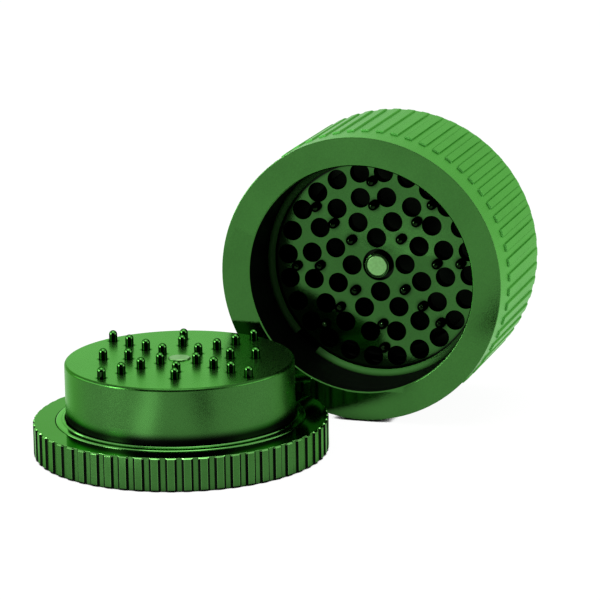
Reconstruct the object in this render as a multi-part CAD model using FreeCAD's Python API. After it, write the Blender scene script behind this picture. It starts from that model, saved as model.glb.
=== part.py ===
import FreeCAD, Part
import math
import os
from FreeCAD import Vector

# A hand-turned grinder, taken apart: the body lies on its side and the lid lies upside down in front of it.
# The frame has +Z up from the table, the body's axis along Y and its mouth towards -Y.

# Outer sizes of the body and of the lid
outer_radius = 31.5
body_length = 35.7
body_wall = 6.35
back_edge_radius = 3.0
mouth_edge_chamfer = 0.1

# Where the lid lies: beside the body's axis, and its least gap to the rim of the body's mouth
lid_beside_axis = 31.2
lid_gap = 0.5

# Raised ribs of the body, behind a plain band at its mouth
body_rib_count = 60
body_rib_height = 0.35
body_rib_top_width = 1.55
body_rib_root_width = 1.85
body_rib_phase = 4.95
mouth_band_width = 7.4

# How far a rib of the body or of the cap reaches into its core
rib_bite = 0.7

# Inside of the body: grinding space, plate seat and collecting space
bore_edge_chamfer = 0.25
plate_depth = 15.0
plate_thickness = 3.0
plate_seat_width = 1.8

# Holes of the plate: each ring's share of the way from the post out to the seat, its count and first angle
plate_clearance = 0.05
hole_diameter = 4.5
hole_post_land = 0.35
hole_seat_land = 0.15
hole_rings = [(0.0, 4, 0.0), (0.29, 8, 22.5), (0.63, 16, 11.25), (1.0, 24, 7.5)]
plate_phase = -3.86

# Pins: the pins of the lid run on circles one pitch apart, those of the plate halfway between
rotor_pin_diameter = 1.8
rotor_pin_height = 2.4
stator_pin_diameter = 2.15
stator_pin_height = 2.0
pin_root = 2.0
pin_rim_margin = 2.85
pin_circle_count = 4
press_clearance = 0.01
rotor_pin_rows = [(1, 4, 45.0), (2, 8, 0.0), (3, 8, 0.0), (4, 4, 45.0)]
stator_pin_rows = [(1.5, 4, 45.0), (2.5, 8, 0.0), (3.5, 8, 0.0)]
rotor_phase = 16.05

# Post in the middle of the plate, and the magnets in the post and in the drum
magnet_radius = 2.3
magnet_thickness = 1.4
magnet_proud = 0.3
post_wall = 0.45
post_height = 1.3
post_recess_gap = 0.75
post_recess_depth = 1.2
post_shank_radius = 1.6

# Snap ring of round wire that holds the plate
snap_wire_radius = 0.9
snap_groove_depth = 0.35
snap_ring_gap_angle = 14.0
snap_ring_gap_at = 222.0
snap_clearance = 0.03

# Dowels: in the plate's seat and between the cap and the drum
dowel_radius = 0.7
dowel_depth = 2.0
dowel_count = 2
dowel_phase = 22.5

# Screwed base behind the collecting space
base_floor = 2.3
base_flange_reach = 2.05
base_flange_thickness = 2.5
base_clearance = 0.15
base_wall = 2.3
base_skirt_length = 7.5
coin_slot_length = 22.0
coin_slot_width = 2.4
coin_slot_depth = 1.0

# Thread of the base, right-handed
thread_pitch = 1.5
thread_gap = 0.5
thread_step = 0.6
thread_height = 0.85
thread_crest_width = 0.4
thread_clearance = 0.15
thread_bore_clearance = 0.2
thread_front_margin = 0.565
thread_lead_in = 0.75
thread_bite = 0.15

# Sealing ring on the neck of the base
seal_wire_radius = 0.75
seal_groove_depth = 0.15
seal_clearance = 0.08

# Cap of the lid
cap_height = 7.2
cap_rib_count = 58
cap_rib_height = 0.4
cap_rib_top_width = 1.45
cap_rib_root_width = 2.3
cap_top_chamfer = 0.3
cap_bottom_chamfer = 0.33
cap_rib_phase = 21.8

# Drum of the lid
drum_clearance = 0.7
drum_height = 12.73
drum_edge_chamfer = 0.6
drum_wall = 4.0
register_height = 1.5
register_clearance = 0.1
boss_radius = 5.0

# Screw under the drum's magnet
screw_head_clearance = 0.1
screw_head_height = 1.6
screw_head_floor = 1.8
screw_radius = 1.25
screw_grip = 5.0

# Glide ring round the foot of the drum
glide_drum_gap = 0.25
glide_width = 1.95
glide_outer_rise = 0.23
glide_inner_rise = 0.6
glide_seat_depth = 0.5
glide_clearance = 0.08

# How far a cutter or a rib's blank reaches past the face that trims it, and how closely an edge is found
overshoot = 0.1
edge_tolerance = 0.01

# Radii that follow from the wall of the body and from the fits
body_rib_radius = outer_radius + body_rib_height
cap_core_radius = outer_radius - cap_rib_height
bore_radius = outer_radius - body_wall
plate_radius = bore_radius - plate_clearance
collecting_radius = bore_radius - plate_seat_width
plate_dowel_circle = (collecting_radius + plate_radius) / 2
snap_ring_radius = bore_radius + snap_groove_depth - snap_wire_radius
post_radius = magnet_radius + post_wall
post_recess_radius = post_radius + post_recess_gap
first_hole_ring = post_recess_radius + hole_post_land + hole_diameter / 2
last_hole_ring = collecting_radius - hole_seat_land - hole_diameter / 2
drum_radius = bore_radius - drum_clearance
drum_inner_radius = drum_radius - drum_wall
drive_dowel_circle = (drum_inner_radius + drum_radius) / 2
pin_pitch = (drum_radius - pin_rim_margin) / pin_circle_count
screw_head_radius = magnet_radius - screw_head_clearance
glide_inner_radius = drum_radius + glide_drum_gap
glide_outer_radius = glide_inner_radius + glide_width
thread_root_radius = collecting_radius + thread_step
thread_crest_radius = thread_root_radius + thread_height
thread_bore_radius = thread_root_radius + thread_bore_clearance
seal_ring_radius = thread_root_radius + seal_wire_radius - seal_groove_depth
neck_radius = seal_ring_radius - seal_wire_radius - seal_clearance
seal_outer_radius = seal_ring_radius + seal_wire_radius + seal_clearance
seal_bore_radius = max(seal_outer_radius, thread_crest_radius + thread_clearance)
base_flange_radius = thread_crest_radius + base_flange_reach

# Places of the lid and of the body, so that the whole stands on the middle of its footprint
body_axis_height = body_rib_radius
mouth_half_width = math.sqrt(outer_radius ** 2 - (body_axis_height - cap_height) ** 2)
mouth_near_lid = lid_beside_axis - mouth_half_width
lid_before_mouth = math.sqrt((outer_radius + lid_gap) ** 2 - mouth_near_lid ** 2)
lid_x = -(lid_beside_axis + body_rib_height) / 2
body_x = lid_x + lid_beside_axis
lid_y = (outer_radius - lid_before_mouth - body_length) / 2
mouth_y = lid_y + lid_before_mouth

# Places along the body's axis, from the mouth
plate_back = plate_depth + plate_thickness
post_top = plate_depth - post_height
snap_ring_place = plate_depth - snap_wire_radius - snap_clearance
flange_front = body_length - base_flange_thickness
skirt_front = flange_front - base_skirt_length
base_inside = body_length - base_floor
seal_place = flange_front - seal_wire_radius - seal_clearance
neck_start = seal_place - seal_wire_radius - seal_clearance
thread_root_width = thread_pitch - thread_gap
thread_start = skirt_front + thread_root_width / 2 + thread_front_margin
thread_end = neck_start - thread_root_width / 2 - thread_clearance
thread_turns = (thread_end - thread_start) / thread_pitch
thread_bore_front = skirt_front - thread_clearance

# Heights on the lid, from the table
drum_top = cap_height + drum_height
magnet_top = drum_top + magnet_proud
screw_head_top = magnet_top - magnet_thickness
screw_head_low = screw_head_top - screw_head_height
drum_floor = screw_head_low - screw_head_floor
glide_seat_floor = cap_height - glide_seat_depth


def polar(radius, angle, height=0.0):
    """Point at an angle in degrees, from -Y towards +X."""
    turn = math.radians(angle)
    return Vector(radius * math.sin(turn), -radius * math.cos(turn), height)


def cylinder(radius, low, high, centre=Vector(0, 0, 0)):
    return Part.makeCylinder(radius, high - low, centre + Vector(0, 0, low))


def turned(points):
    """Solid turned about Z from an outline of (radius, height) corners."""
    corners = [Vector(radius, 0, height) for radius, height in points]
    outline = Part.makePolygon(corners + corners[:1])
    return Part.Face(outline).revolve(Vector(0, 0, 0), Vector(0, 0, 1), 360)


def ring_of(shape, count, first_angle):
    """Copies of a shape turned evenly about Z."""
    copies = []
    for number in range(count):
        copy = shape.copy()
        copy.rotate(Vector(0, 0, 0), Vector(0, 0, 1), first_angle + number * 360.0 / count)
        copies.append(copy)
    return copies


def places_on_rings(rings, phase):
    """Points on rings of (radius, count, first angle)."""
    points = []
    for radius, count, first_angle in rings:
        for number in range(count):
            points.append(polar(radius, phase + first_angle + number * 360.0 / count))
    return points


def pin_places(rows, phase):
    return places_on_rings([(row * pin_pitch, count, first) for row, count, first in rows], phase)


def hole_places():
    way = last_hole_ring - first_hole_ring
    rings = [(first_hole_ring + share * way, count, first) for share, count, first in hole_rings]
    return places_on_rings(rings, plate_phase)


def lay_on_side(shape):
    """Turn a piece made on Z so that its axis lies along Y, resting on the table."""
    laid = shape.copy()
    laid.rotate(Vector(0, 0, 0), Vector(1, 0, 0), -90)
    laid.translate(Vector(body_x, mouth_y, body_axis_height))
    return laid


def lay_flat(shape):
    """Set a piece of the lid down at the lid's place on the table."""
    laid = shape.copy()
    laid.translate(Vector(lid_x, lid_y, 0))
    return laid


def domed_pin(diameter, foot, top):
    """Round pin with a half-ball end, standing on Z."""
    radius = diameter / 2
    shoulder = top - radius
    dome = Part.makeSphere(radius, Vector(0, 0, shoulder))
    return cylinder(radius, foot, shoulder).fuse(dome).removeSplitter()


def helical_ridge(low, turns, root_radius, crest_radius, root_width, crest_width, bite):
    """Thread ridge on a right-handed helix, reaching a little into its core."""
    helix = Part.makeHelix(thread_pitch, thread_pitch * turns, root_radius)
    foot = root_radius - bite
    corners = [
        Vector(foot, 0, -root_width / 2),
        Vector(root_radius, 0, -root_width / 2),
        Vector(crest_radius, 0, -crest_width / 2),
        Vector(crest_radius, 0, crest_width / 2),
        Vector(root_radius, 0, root_width / 2),
        Vector(foot, 0, root_width / 2),
    ]
    outline = Part.makePolygon(corners + corners[:1])
    ridge = Part.Wire(helix).makePipeShell([outline], True, True)
    ridge.translate(Vector(0, 0, low))
    return ridge


def edge_rib(root_radius, top_radius, root_width, top_width, low, high):
    """One rib along Z on a round edge, straight above -Y, reaching into the core and past its top."""
    half_root = root_width / 2
    taper = (root_width - top_width) / 2 / (top_radius - root_radius)
    half_past = top_width / 2 - taper * overshoot
    corners = [
        Vector(-half_root, -(root_radius - rib_bite), low),
        Vector(half_root, -(root_radius - rib_bite), low),
        Vector(half_root, -root_radius, low),
        Vector(half_past, -(top_radius + overshoot), low),
        Vector(-half_past, -(top_radius + overshoot), low),
        Vector(-half_root, -root_radius, low),
    ]
    face = Part.Face(Part.makePolygon(corners + corners[:1]))
    return face.extrude(Vector(0, 0, high - low))


def outer_body():
    """Core of the body with its ribs, the rounded back edge and the chamfer at its mouth."""
    full = cylinder(body_rib_radius, 0, body_length)
    back_edge = [edge for edge in full.Edges if edge.BoundBox.ZMin > body_length - edge_tolerance]
    full = full.makeFillet(back_edge_radius, back_edge)
    core = full.common(cylinder(outer_radius, 0, body_length))
    mouth_edge = [edge for edge in core.Edges if edge.BoundBox.ZMax < edge_tolerance]
    core = core.makeChamfer(mouth_edge_chamfer, mouth_edge)
    rib = edge_rib(
        outer_radius,
        body_rib_radius,
        body_rib_root_width,
        body_rib_top_width,
        mouth_band_width,
        body_length,
    )
    ribs = Part.makeCompound(ring_of(rib, body_rib_count, body_rib_phase))
    return core.fuse(full.common(ribs).Solids).removeSplitter()


def dowel_points(circle):
    return [polar(circle, dowel_phase + number * 360.0 / dowel_count) for number in range(dowel_count)]


def dowels(circle, middle):
    """Dowels half in the piece on each side of a joint face."""
    low = middle - dowel_depth
    high = middle + dowel_depth
    return [cylinder(dowel_radius, low, high, point) for point in dowel_points(circle)]


def dowel_holes(circle, low, high):
    return [cylinder(dowel_radius + press_clearance, low, high, point) for point in dowel_points(circle)]


def grinding_chamber():
    body = outer_body()
    bore = turned([
        (0, 0),
        (bore_radius + bore_edge_chamfer, 0),
        (bore_radius, bore_edge_chamfer),
        (bore_radius, plate_back),
        (collecting_radius, plate_back),
        (collecting_radius, thread_bore_front),
        (thread_bore_radius, thread_bore_front),
        (thread_bore_radius, neck_start),
        (seal_bore_radius, neck_start),
        (seal_bore_radius, flange_front),
        (base_flange_radius + base_clearance, flange_front),
        (base_flange_radius + base_clearance, body_length),
        (0, body_length),
    ])
    body = body.cut(bore)
    groove_radius = snap_wire_radius + snap_clearance
    body = body.cut(Part.makeTorus(snap_ring_radius, groove_radius, Vector(0, 0, snap_ring_place)))
    lead = thread_lead_in / thread_pitch
    groove = helical_ridge(
        thread_start - lead * thread_pitch,
        thread_turns + 2 * lead,
        thread_root_radius,
        thread_crest_radius + thread_clearance,
        thread_root_width + 2 * thread_clearance,
        thread_crest_width + 2 * thread_clearance,
        thread_bite,
    )
    groove.rotate(Vector(0, 0, 0), Vector(0, 0, 1), -360.0 * lead)
    body = body.cut(groove)
    return body.cut(dowel_holes(plate_dowel_circle, plate_back, plate_back + dowel_depth))


def stator_plate():
    plate = cylinder(plate_radius, plate_depth, plate_back)
    cutters = [cylinder(post_recess_radius, plate_depth, plate_depth + post_recess_depth)]
    cutters.append(cylinder(post_shank_radius + press_clearance, plate_depth, plate_back))
    for point in hole_places():
        cutters.append(cylinder(hole_diameter / 2, plate_depth - overshoot, plate_back + overshoot, point))
    pin_hole_radius = stator_pin_diameter / 2 + press_clearance
    for point in pin_places(stator_pin_rows, plate_phase):
        cutters.append(cylinder(pin_hole_radius, plate_depth, plate_depth + pin_root, point))
    cutters += dowel_holes(plate_dowel_circle, plate_back - dowel_depth, plate_back)
    return plate.cut(Part.makeCompound(cutters))


def stator_pins():
    pin = domed_pin(stator_pin_diameter, -pin_root, stator_pin_height)
    pin.rotate(Vector(0, 0, 0), Vector(1, 0, 0), 180)
    pins = []
    for point in pin_places(stator_pin_rows, plate_phase):
        copy = pin.copy()
        copy.translate(point + Vector(0, 0, plate_depth))
        pins.append(copy)
    return Part.makeCompound(pins)


def centre_post():
    head = cylinder(post_radius, post_top, plate_depth + post_recess_depth)
    shank = cylinder(post_shank_radius, plate_depth + post_recess_depth, plate_back)
    post = head.fuse(shank).removeSplitter()
    pocket = cylinder(magnet_radius + press_clearance, post_top, post_top + magnet_thickness)
    return post.cut(pocket)


def post_magnet():
    return cylinder(magnet_radius, post_top, post_top + magnet_thickness)


def plate_snap_ring():
    sweep = 360.0 - snap_ring_gap_angle
    place = Vector(0, 0, snap_ring_place)
    ring = Part.makeTorus(snap_ring_radius, snap_wire_radius, place, Vector(0, 0, 1), 0, 360, sweep)
    ring.rotate(Vector(0, 0, 0), Vector(0, 0, 1), snap_ring_gap_at + snap_ring_gap_angle / 2 - 90.0)
    return ring


def plate_dowels():
    return Part.makeCompound(dowels(plate_dowel_circle, plate_back))


def base_cup():
    inside_radius = neck_radius - base_wall
    cup = turned([
        (0, base_inside),
        (inside_radius, base_inside),
        (inside_radius, skirt_front),
        (thread_root_radius, skirt_front),
        (thread_root_radius, neck_start),
        (neck_radius, neck_start),
        (neck_radius, flange_front),
        (base_flange_radius, flange_front),
        (base_flange_radius, body_length),
        (0, body_length),
    ])
    ridge = helical_ridge(
        thread_start,
        thread_turns,
        thread_root_radius,
        thread_crest_radius,
        thread_root_width,
        thread_crest_width,
        thread_bite,
    )
    cup = cup.fuse(ridge)
    corner = Vector(-coin_slot_length / 2, -coin_slot_width / 2, body_length - coin_slot_depth)
    slot = Part.makeBox(coin_slot_length, coin_slot_width, coin_slot_depth, corner)
    return cup.cut(slot)


def base_seal():
    return Part.makeTorus(seal_ring_radius, seal_wire_radius, Vector(0, 0, seal_place))


def outer_cap():
    """Core of the cap with its ribs, which have a chamfer at the top and at the bottom."""
    full = turned([
        (0, 0),
        (outer_radius - cap_bottom_chamfer, 0),
        (outer_radius, cap_bottom_chamfer),
        (outer_radius, cap_height - cap_top_chamfer),
        (outer_radius - cap_top_chamfer, cap_height),
        (0, cap_height),
    ])
    core = full.common(cylinder(cap_core_radius, 0, cap_height))
    rib = edge_rib(cap_core_radius, outer_radius, cap_rib_root_width, cap_rib_top_width, 0, cap_height)
    ribs = Part.makeCompound(ring_of(rib, cap_rib_count, cap_rib_phase))
    return core.fuse(full.common(ribs).Solids).removeSplitter()


def lid_cap():
    cap = outer_cap()
    seat = cylinder(glide_outer_radius + glide_clearance, glide_seat_floor, cap_height)
    seat = seat.cut(cylinder(glide_inner_radius - glide_clearance, glide_seat_floor, cap_height))
    cap = cap.cut(seat)
    register = cylinder(drum_inner_radius - register_clearance, cap_height, cap_height + register_height)
    boss = cylinder(boss_radius, cap_height, drum_floor)
    cap = cap.fuse([register, boss]).removeSplitter()
    cap = cap.cut(cylinder(screw_radius + press_clearance, drum_floor - screw_grip, drum_floor))
    return cap.cut(dowel_holes(drive_dowel_circle, cap_height - dowel_depth, cap_height))


def rotor_drum():
    drum = turned([
        (0, drum_floor),
        (drum_inner_radius, drum_floor),
        (drum_inner_radius, cap_height),
        (drum_radius, cap_height),
        (drum_radius, drum_top - drum_edge_chamfer),
        (drum_radius - drum_edge_chamfer, drum_top),
        (0, drum_top),
    ])
    cutters = [cylinder(magnet_radius + press_clearance, screw_head_low, drum_top)]
    cutters.append(cylinder(screw_radius + press_clearance, drum_floor, screw_head_low))
    pin_hole_radius = rotor_pin_diameter / 2 + press_clearance
    for point in pin_places(rotor_pin_rows, rotor_phase):
        cutters.append(cylinder(pin_hole_radius, drum_top - pin_root, drum_top, point))
    cutters += dowel_holes(drive_dowel_circle, cap_height, cap_height + dowel_depth)
    return drum.cut(Part.makeCompound(cutters))


def rotor_pins():
    pin = domed_pin(rotor_pin_diameter, drum_top - pin_root, drum_top + rotor_pin_height)
    pins = []
    for point in pin_places(rotor_pin_rows, rotor_phase):
        copy = pin.copy()
        copy.translate(point)
        pins.append(copy)
    return Part.makeCompound(pins)


def rotor_magnet():
    return cylinder(magnet_radius, screw_head_top, magnet_top)


def rotor_screw():
    head = cylinder(screw_head_radius, screw_head_low, screw_head_top)
    shank = cylinder(screw_radius, drum_floor - screw_grip, screw_head_low)
    return head.fuse(shank).removeSplitter()


def drive_dowels():
    return Part.makeCompound(dowels(drive_dowel_circle, cap_height))


def glide_ring():
    return turned([
        (glide_inner_radius, glide_seat_floor),
        (glide_outer_radius, glide_seat_floor),
        (glide_outer_radius, cap_height + glide_outer_rise),
        (glide_inner_radius, cap_height + glide_inner_rise),
    ])


body_pieces = [
    grinding_chamber,
    stator_plate,
    stator_pins,
    centre_post,
    post_magnet,
    plate_snap_ring,
    plate_dowels,
    base_cup,
    base_seal,
]
lid_pieces = [
    lid_cap,
    rotor_drum,
    rotor_pins,
    rotor_magnet,
    rotor_screw,
    drive_dowels,
    glide_ring,
]

os.makedirs("parts", exist_ok=True)
for make_piece in body_pieces:
    lay_on_side(make_piece()).exportStep("parts/" + make_piece.__name__ + ".step")
for make_piece in lid_pieces:
    lay_flat(make_piece()).exportStep("parts/" + make_piece.__name__ + ".step")
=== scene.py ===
"""A hand-turned herb grinder taken apart: ribbed body on its side, pinned lid upside down before it."""
import math

import bmesh
import bpy
from mathutils import Matrix, Vector


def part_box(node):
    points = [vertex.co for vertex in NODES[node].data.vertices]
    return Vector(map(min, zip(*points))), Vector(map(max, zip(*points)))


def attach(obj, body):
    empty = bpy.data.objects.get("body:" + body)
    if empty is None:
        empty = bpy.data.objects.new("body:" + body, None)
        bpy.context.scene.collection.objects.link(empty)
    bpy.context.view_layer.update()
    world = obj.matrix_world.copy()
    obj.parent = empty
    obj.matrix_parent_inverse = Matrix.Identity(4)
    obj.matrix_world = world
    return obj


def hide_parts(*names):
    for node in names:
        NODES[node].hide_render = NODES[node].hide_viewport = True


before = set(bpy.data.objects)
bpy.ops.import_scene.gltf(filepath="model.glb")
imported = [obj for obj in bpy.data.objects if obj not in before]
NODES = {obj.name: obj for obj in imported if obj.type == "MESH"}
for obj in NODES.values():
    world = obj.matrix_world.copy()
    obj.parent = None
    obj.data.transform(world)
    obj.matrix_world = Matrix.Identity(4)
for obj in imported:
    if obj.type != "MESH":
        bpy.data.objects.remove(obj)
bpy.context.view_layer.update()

bl_info = {
    "name": "Herb grinder",
    "version": (1, 0, 0),
    "blender": (4, 5, 0),
    "location": "3D View > Sidebar > Grinder",
    "description": "Models and finishes the pieces of a hand-turned herb grinder and sets up its studio",
    "category": "Object",
}

# Pieces are modelled in millimetres about Z and then set down in the frame, which is in metres
MM = 0.001
# Clearances, gaps and the drum's wall as the frame's solids have them, in millimetres
PLATE_CLEARANCE = 0.05
BASE_CLEARANCE = 0.15
GLIDE_GAP = 0.25
GLIDE_CLEARANCE = 0.08
DRUM_WALL = 4.0
# How far past a line a face's middle may lie and still count as on it, in millimetres
SLACK = 0.02
# Two places closer than this are the same, in millimetres
SAME = 0.001
# Share of a face's normal that lies along the axis of a piece where the face is flat
FLAT = 0.95
# Columns of a ribbed piece for each rib: two for its root and two for its top
COLUMNS_PER_RIB = 4
# Columns of the round pieces without ribs: the drum and its glide ring, the post, and the magnets
DRUM_COLUMNS = 240
POST_COLUMNS = 96
MAGNET_COLUMNS = 64
# Most of a noise texture lies between these values
NOISE_RANGE = {"From Min": 0.3, "From Max": 0.7}
# Rays that look for shade round a point
SHADE_RAYS = {"samples": 12}
# Settings of nodes that mix two colours, multiply them, or multiply two numbers
MIX_COLOURS = {"data_type": "RGBA"}
MULTIPLY_COLOURS = {"data_type": "RGBA", "blend_type": "MULTIPLY"}
MULTIPLY = {"operation": "MULTIPLY"}
WHITE = (1, 1, 1, 1)


def linear(hex_colour):
    """An sRGB hex colour as linear red, green and blue."""
    channels = [int(hex_colour[i:i + 2], 16) / 255 for i in (1, 3, 5)]
    return [c / 12.92 if c <= 0.04045 else ((c + 0.055) / 1.055) ** 2.4 for c in channels]


def box_mm(name):
    """Lowest and highest corner of a node of the frame, in millimetres."""
    low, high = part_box(name)
    return low / MM, high / MM


def radius_of(name):
    """Half the width of a round node of the frame, in millimetres."""
    low, high = box_mm(name)
    return (high.x - low.x) / 2


# Sizes and places that the frame gives: the axis and mouth of the body, the axis and foot of the lid
chamber_low, chamber_high = box_mm("grinding_chamber")
drum_low, drum_high = box_mm("rotor_drum")
cap_low, cap_high = box_mm("lid_cap")
BODY_RADIUS = (chamber_high.z - chamber_low.z) / 2
LID_RADIUS = (cap_high.y - cap_low.y) / 2
BODY_LENGTH = chamber_high.y - chamber_low.y
BODY_AXIS = sum(corner.x for corner in box_mm("base_cup")) / 2
MOUTH = Vector((BODY_AXIS, chamber_low.y, (chamber_high.z + chamber_low.z) / 2))
LID_FOOT = Vector(((drum_high.x + drum_low.x) / 2, (drum_high.y + drum_low.y) / 2, 0))


def depth_in_body(name):
    """How deep a node of the body starts and ends behind the mouth, in millimetres."""
    low, high = box_mm(name)
    return low.y - MOUTH.y, high.y - MOUTH.y


# Modelling helpers


def start_circle(name, count, radius, height, fill="NOTHING"):
    """Add a circle about Z as a new piece and stay in edit mode with it selected."""
    bpy.ops.object.select_all(action="DESELECT")
    bpy.ops.mesh.primitive_circle_add(vertices=count, radius=radius, fill_type=fill, location=(0, 0, 0))
    piece = bpy.context.active_object
    piece.name = name
    piece.data.name = name
    bpy.ops.object.mode_set(mode="EDIT")
    bpy.ops.transform.translate(value=(0, 0, height))
    bpy.ops.mesh.select_mode(type="EDGE")
    return piece


def sweep(corners, start):
    """Extrude the selected ring through (radius, height) corners."""
    radius, height = start
    for next_radius, next_height in corners:
        bpy.ops.mesh.extrude_edges_move(TRANSFORM_OT_translate={"value": (0, 0, next_height - height)})
        grow = next_radius / radius
        bpy.ops.transform.resize(value=(grow, grow, 1), center_override=(0, 0, 0))
        radius, height = next_radius, next_height


def arc(radius, height, turn_radius, first, last, steps):
    """Corners along an arc in a (radius, height) outline, from one angle to another in degrees."""
    corners = []
    for step in range(1, steps + 1):
        angle = math.radians(first + (last - first) * step / steps)
        corners.append((radius + turn_radius * math.cos(angle), height + turn_radius * math.sin(angle)))
    return corners


def choose(piece, kind, test):
    """Select in edit mode only what passes a test on its middle, by VERT, EDGE or FACE."""
    bpy.ops.mesh.select_mode(type=kind)
    bpy.ops.mesh.select_all(action="DESELECT")
    shape = bmesh.from_edit_mesh(piece.data)
    items = {"VERT": shape.verts, "EDGE": shape.edges, "FACE": shape.faces}[kind]
    for item in items:
        corners = [item] if kind == "VERT" else item.verts
        middle = sum((corner.co for corner in corners), Vector()) / len(corners)
        if test(middle, item):
            item.select_set(True)
    shape.select_flush_mode()
    bmesh.update_edit_mesh(piece.data)


def turned(name, count, corners, closed):
    """A turned piece from a (radius, height) outline: closed, it is a ring, and open, it has flat ends."""
    start = corners[0]
    piece = start_circle(name, count, start[0], start[1], "NOTHING" if closed else "NGON")
    if closed:
        sweep(corners[1:] + [start], start)
    else:
        choose(piece, "EDGE", lambda middle, edge: True)
        sweep(corners[1:], start)
        bpy.ops.mesh.edge_face_add()
    bpy.ops.mesh.select_all(action="SELECT")
    bpy.ops.mesh.remove_doubles(threshold=0.002)
    bpy.ops.mesh.normals_make_consistent(inside=False)
    return piece


def share_of_turn(point, count, first):
    """Which of count equal columns a point lies in, counted from an angle in degrees."""
    angle = math.degrees(math.atan2(point.x, -point.y)) - first
    return round(angle * count / 360) % count


def spread_columns(piece, count, turns):
    """Turn each column of every group of columns by its own angle in degrees, so that they stand unevenly."""
    groups = len(turns)
    for group, turn in enumerate(turns):
        choose(piece, "VERT", lambda middle, vertex: share_of_turn(middle, count, 180) % groups == group)
        bpy.ops.transform.rotate(value=-math.radians(turn), orient_axis="Z", center_override=(0, 0, 0))


def stand_ribs(piece, count, rows, top_radius, root_radius, top_width, root_width):
    """Leave ribs standing round a piece: between them its rows sink to the root radius.

    Gives back the angle in degrees that brings the first rib to the front.
    """
    columns = count * COLUMNS_PER_RIB
    step = 360 / columns
    half_top = math.degrees(top_width / 2 / top_radius)
    half_root = math.degrees(root_width / 2 / root_radius)
    spread_columns(piece, columns, (1.5 * step - half_root, 0.5 * step - half_top,
                                    half_top - 0.5 * step, half_root - 1.5 * step))
    for row_radius, row_height in rows:
        def between_ribs(middle, vertex):
            out = math.hypot(middle.x, middle.y)
            angle = math.degrees(math.atan2(middle.x, -middle.y))
            aside = abs(math.remainder(angle - 180 - 1.5 * step, COLUMNS_PER_RIB * step))
            in_row = abs(middle.z - row_height) < SLACK / 2 and abs(out - row_radius) < SLACK
            return in_row and aside > (half_top + half_root) / 2
        choose(piece, "VERT", between_ribs)
        shrink = root_radius / row_radius
        bpy.ops.transform.resize(value=(shrink, shrink, 1), center_override=(0, 0, 0))
    return -180 - 1.5 * step


def settle(piece, place, upright, phase=0.0):
    """Set a piece down in the frame: lids stand upright, the body's pieces lie along Y."""
    bpy.ops.object.mode_set(mode="OBJECT")
    lay = Matrix.Identity(4) if upright else Matrix.Rotation(math.radians(-90), 4, "X")
    turn = Matrix.Rotation(math.radians(phase), 4, "Z")
    piece.matrix_world = Matrix.Scale(MM, 4) @ Matrix.Translation(place) @ lay @ turn
    bpy.ops.object.select_all(action="DESELECT")
    piece.select_set(True)
    bpy.context.view_layer.objects.active = piece
    bpy.ops.object.transform_apply(location=True, rotation=True, scale=True)


def round_edges(piece, width):
    """Break every sharp edge of a piece with a small round, in millimetres, and shade it smooth."""
    bpy.ops.object.mode_set(mode="OBJECT")
    bevel = piece.modifiers.new("Broken edges", "BEVEL")
    bevel.width = width
    bevel.segments = 2
    bevel.limit_method = "ANGLE"
    bevel.angle_limit = math.radians(30)
    bevel.use_clamp_overlap = False
    bpy.ops.object.modifier_apply(modifier=bevel.name)
    bpy.ops.object.shade_smooth()
    flats = piece.modifiers.new("Flat faces stay flat", "WEIGHTED_NORMAL")
    flats.mode = "FACE_AREA"
    flats.weight = 100
    bpy.ops.object.modifier_apply(modifier=flats.name)


def paint(piece, material, test):
    """Give the faces of a settled piece that pass a test another material."""
    piece.data.materials.append(material)
    piece.active_material_index = len(piece.data.materials) - 1
    bpy.ops.object.mode_set(mode="EDIT")
    choose(piece, "FACE", test)
    bpy.ops.object.material_slot_assign()
    bpy.ops.object.mode_set(mode="OBJECT")


def hand_over(piece, body, slot_name, *replaced):
    """Ride a finished piece on its body in place of nodes of the frame."""
    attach(piece, body)
    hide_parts(*replaced)


def finish_node(name, material):
    """Give a node of the frame its finished material."""
    NODES[name].data.materials.clear()
    NODES[name].data.materials.append(material)


# Material helpers


def per_metre(size_mm):
    """Texture scale whose features are this many millimetres wide."""
    return 1 / (size_mm * MM)


def node(tree, kind, settings=None, values=None, links=None):
    """Add a node, set its properties and its socket values, and link its inputs."""
    made = tree.nodes.new(kind)
    for name, value in (settings or {}).items():
        setattr(made, name, value)
    for name, value in (values or {}).items():
        made.inputs[name].default_value = value
    for name, socket in (links or {}).items():
        tree.links.new(socket, made.inputs[name])
    return made


def new_material(name):
    """An empty node material and its tree."""
    material = bpy.data.materials.new(name)
    material.use_nodes = True
    material.node_tree.nodes.clear()
    return material, material.node_tree


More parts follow.
